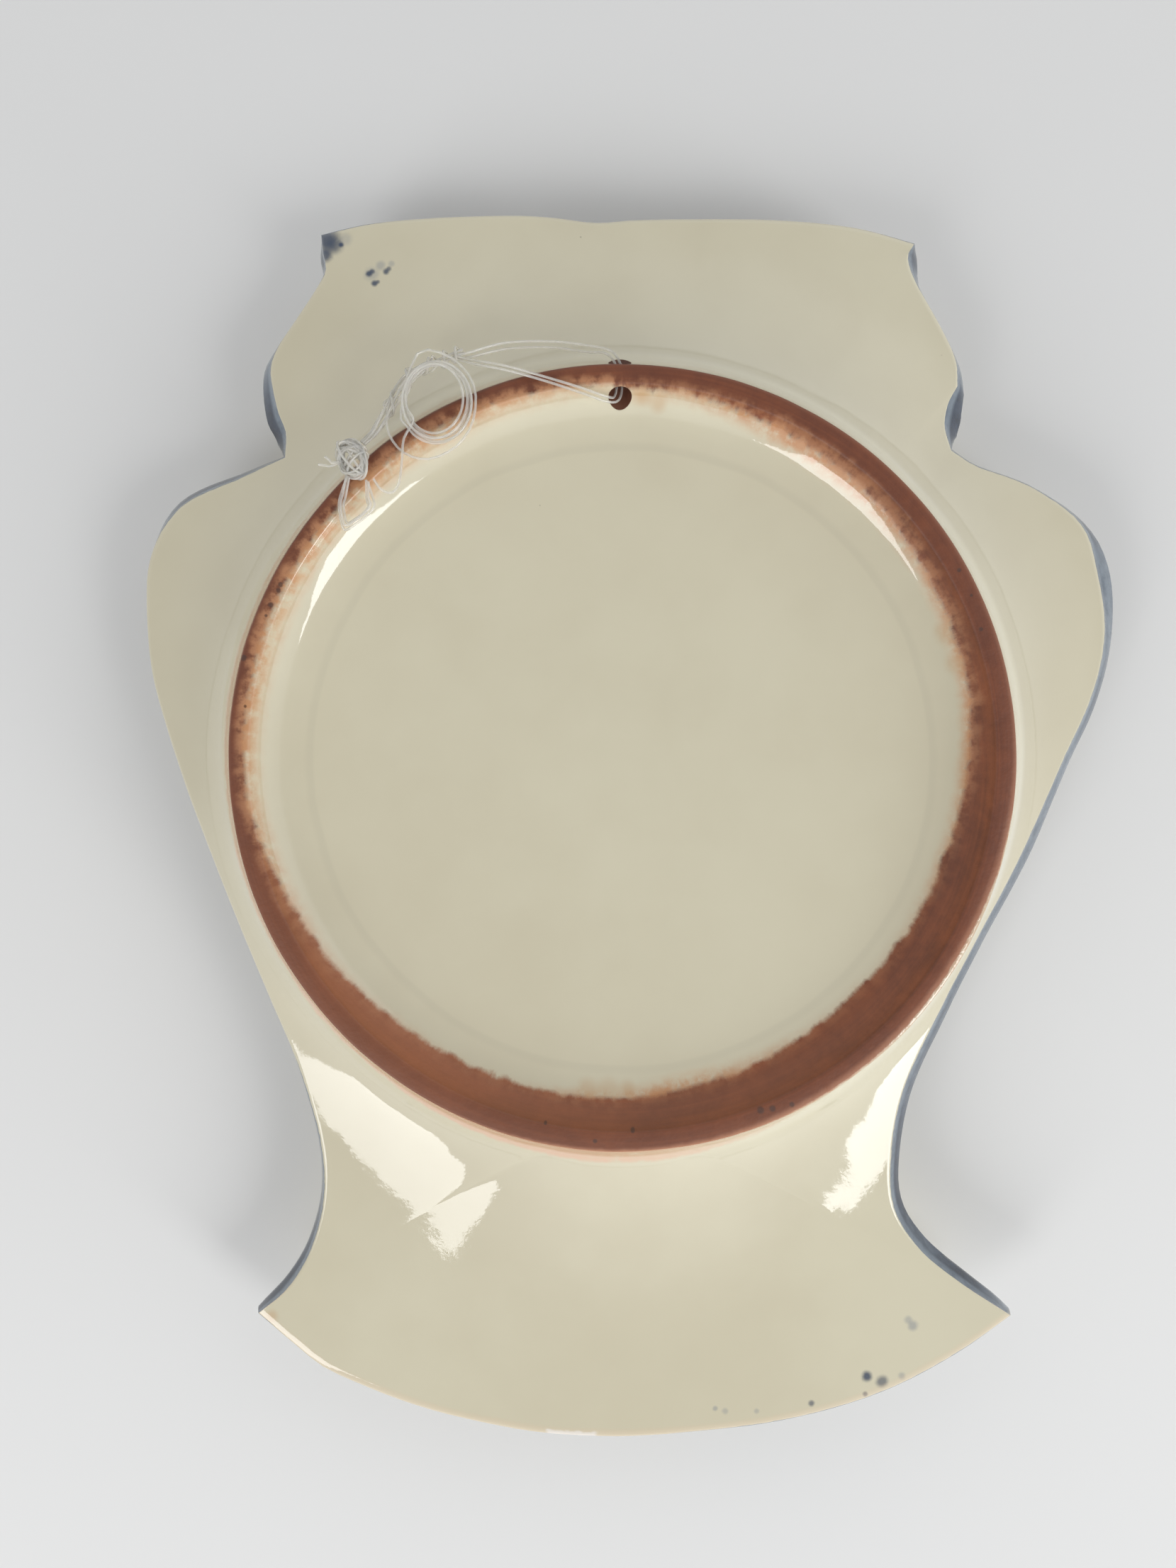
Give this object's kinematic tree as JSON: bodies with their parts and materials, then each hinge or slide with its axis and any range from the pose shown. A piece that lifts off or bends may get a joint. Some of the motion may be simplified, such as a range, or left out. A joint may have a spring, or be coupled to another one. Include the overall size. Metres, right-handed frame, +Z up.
{
  "type": "vase-shaped ceramic wall plate",
  "caption": "Glazed clay plate cut in the outline of a vase, with a round foot ring bored for hanging and a knotted, coiled nylon line.",
  "frame": {"origin": "on the flat crest of the foot ring at twelve o'clock, over the hanging tunnel, where the plate bears on the wall", "axes": "+Z up the hanging plate, +Y out of its back towards the wall, the painted face looks along -Y"},
  "size_m": [0.2055, 0.0308, 0.2578],
  "materials": {
    "cream_glaze": "glossy cream tin glaze with a painted blue edge, bare brown-red clay on the foot ring",
    "clear_nylon": "clear, glossy"
  },
  "bodies": {
    "root": {"plate": "cream_glaze", "hanging_line_outer_strand": "clear_nylon", "hanging_line_inner_strand": "clear_nylon", "hanging_line_first_knot": "clear_nylon", "hanging_line_bundle": "clear_nylon", "hanging_line_coil": "clear_nylon", "hanging_line_long_loop": "clear_nylon", "hanging_line_second_knot": "clear_nylon", "hanging_line_end_loops": "clear_nylon", "hanging_line_tail": "clear_nylon"}
  },
  "joints": []
}
